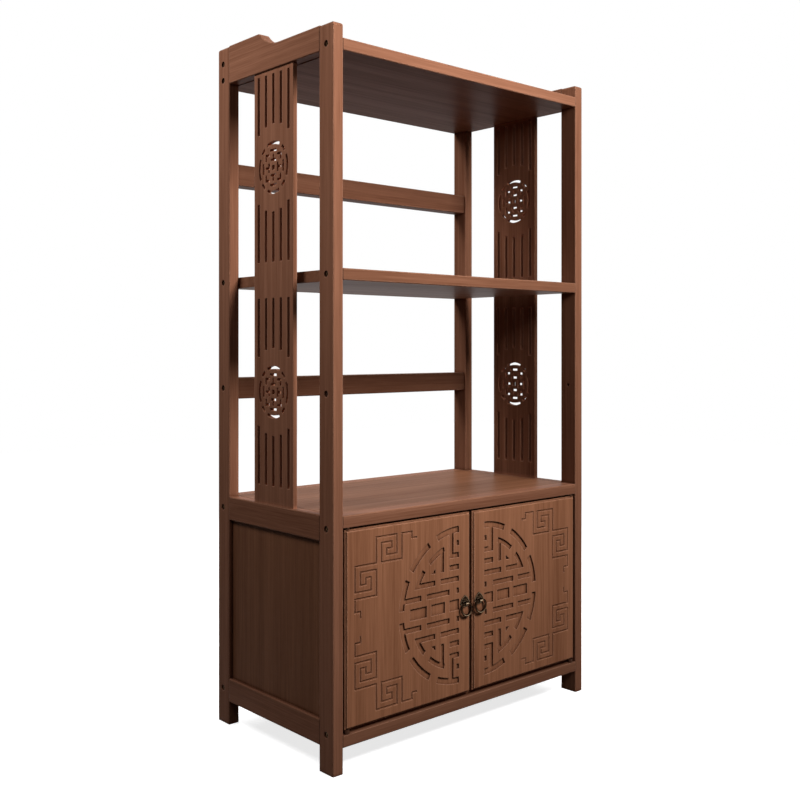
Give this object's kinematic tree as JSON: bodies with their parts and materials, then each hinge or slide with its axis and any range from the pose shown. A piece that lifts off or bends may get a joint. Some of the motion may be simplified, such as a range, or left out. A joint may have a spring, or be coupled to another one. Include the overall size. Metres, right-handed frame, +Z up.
{
  "type": "kitchen storage rack",
  "caption": "Tall wooden kitchen rack with open shelves between side frames with pierced splats, over a cabinet with carved double doors and hanging ring pulls.",
  "frame": {"origin": "on the floor under the middle of the rack's box, ring pulls included", "axes": "+Z up, +X to the right of someone facing the doors, +Y from the doors to the back"},
  "size_m": [0.7, 0.4092, 1.4],
  "materials": {
    "frame_wood": "satin lacquer",
    "board_wood": "satin lacquer",
    "panel_wood": "satin lacquer",
    "splat_wood": "satin lacquer",
    "door_wood": "satin lacquer, carved",
    "bolt_steel": "dull zinc",
    "insert_brass": "plain turned",
    "plug_plastic": "matt moulded",
    "bush_nylon": "moulded, dark brown",
    "catch_plastic": "moulded",
    "magnet": "ground",
    "strike_steel": "zinc plated",
    "screw_steel": "zinc plated",
    "pull_bronze": "antique, dark with bright worn edges"
  },
  "bodies": {
    "frame": {"post_front_left": "frame_wood", "post_back_left": "frame_wood", "top_side_rail_left": "frame_wood", "cabinet_side_rail_upper_left": "frame_wood", "cabinet_side_rail_lower_left": "frame_wood", "side_panel_left": "panel_wood", "splat_left": "splat_wood", "bolts_left": "bolt_steel", "inserts_left": "insert_brass", "post_front_right": "frame_wood", "post_back_right": "frame_wood", "top_side_rail_right": "frame_wood", "cabinet_side_rail_upper_right": "frame_wood", "cabinet_side_rail_lower_right": "frame_wood", "side_panel_right": "panel_wood", "splat_right": "splat_wood", "bolts_right": "bolt_steel", "inserts_right": "insert_brass", "top_board": "board_wood", "middle_shelf": "board_wood", "cabinet_top_front_rail": "frame_wood", "cabinet_top_back_rail": "frame_wood", "cabinet_bottom_front_rail": "frame_wood", "cabinet_bottom_back_rail": "frame_wood", "top_guard_rail": "frame_wood", "upper_back_rail": "frame_wood", "lower_back_rail": "frame_wood", "cabinet_top_panel": "panel_wood", "cabinet_bottom_panel": "panel_wood", "cabinet_back_panel": "panel_wood", "spare_hole_plugs": "plug_plastic", "upper_pivot_bushes": "bush_nylon", "lower_pivot_bushes": "bush_nylon", "magnetic_catch": "catch_plastic", "catch_magnets": "magnet", "catch_screws": "screw_steel"},
    "left_door": {"door_left": "door_wood", "pivot_pins_left": "screw_steel", "strike_plate_left": "strike_steel", "strike_screw_left": "screw_steel", "pull_plate_left": "pull_bronze", "pull_screws_left": "pull_bronze"},
    "left_ring": {"pull_ring_left": "pull_bronze"},
    "right_door": {"door_right": "door_wood", "pivot_pins_right": "screw_steel", "strike_plate_right": "strike_steel", "strike_screw_right": "screw_steel", "pull_plate_right": "pull_bronze", "pull_screws_right": "pull_bronze"},
    "right_ring": {"pull_ring_right": "pull_bronze"}
  },
  "joints": [
    {"name": "left_door_hinge", "type": "hinge", "parent": "frame", "child": "left_door", "pos_m": [-0.315, -0.1894, 0.26025], "axis": [0, 0, -1], "range_deg": [0, 105]},
    {"name": "left_ring_swing", "type": "hinge", "parent": "left_door", "child": "left_ring", "pos_m": [-0.02, -0.2016, 0.26075], "axis": [-1, 0, 0], "range_deg": [0, 85]},
    {"name": "right_door_hinge", "type": "hinge", "parent": "frame", "child": "right_door", "pos_m": [0.315, -0.1894, 0.26025], "axis": [0, 0, 1], "range_deg": [0, 105]},
    {"name": "right_ring_swing", "type": "hinge", "parent": "right_door", "child": "right_ring", "pos_m": [0.02, -0.2016, 0.26075], "axis": [-1, 0, 0], "range_deg": [0, 85]}
  ]
}
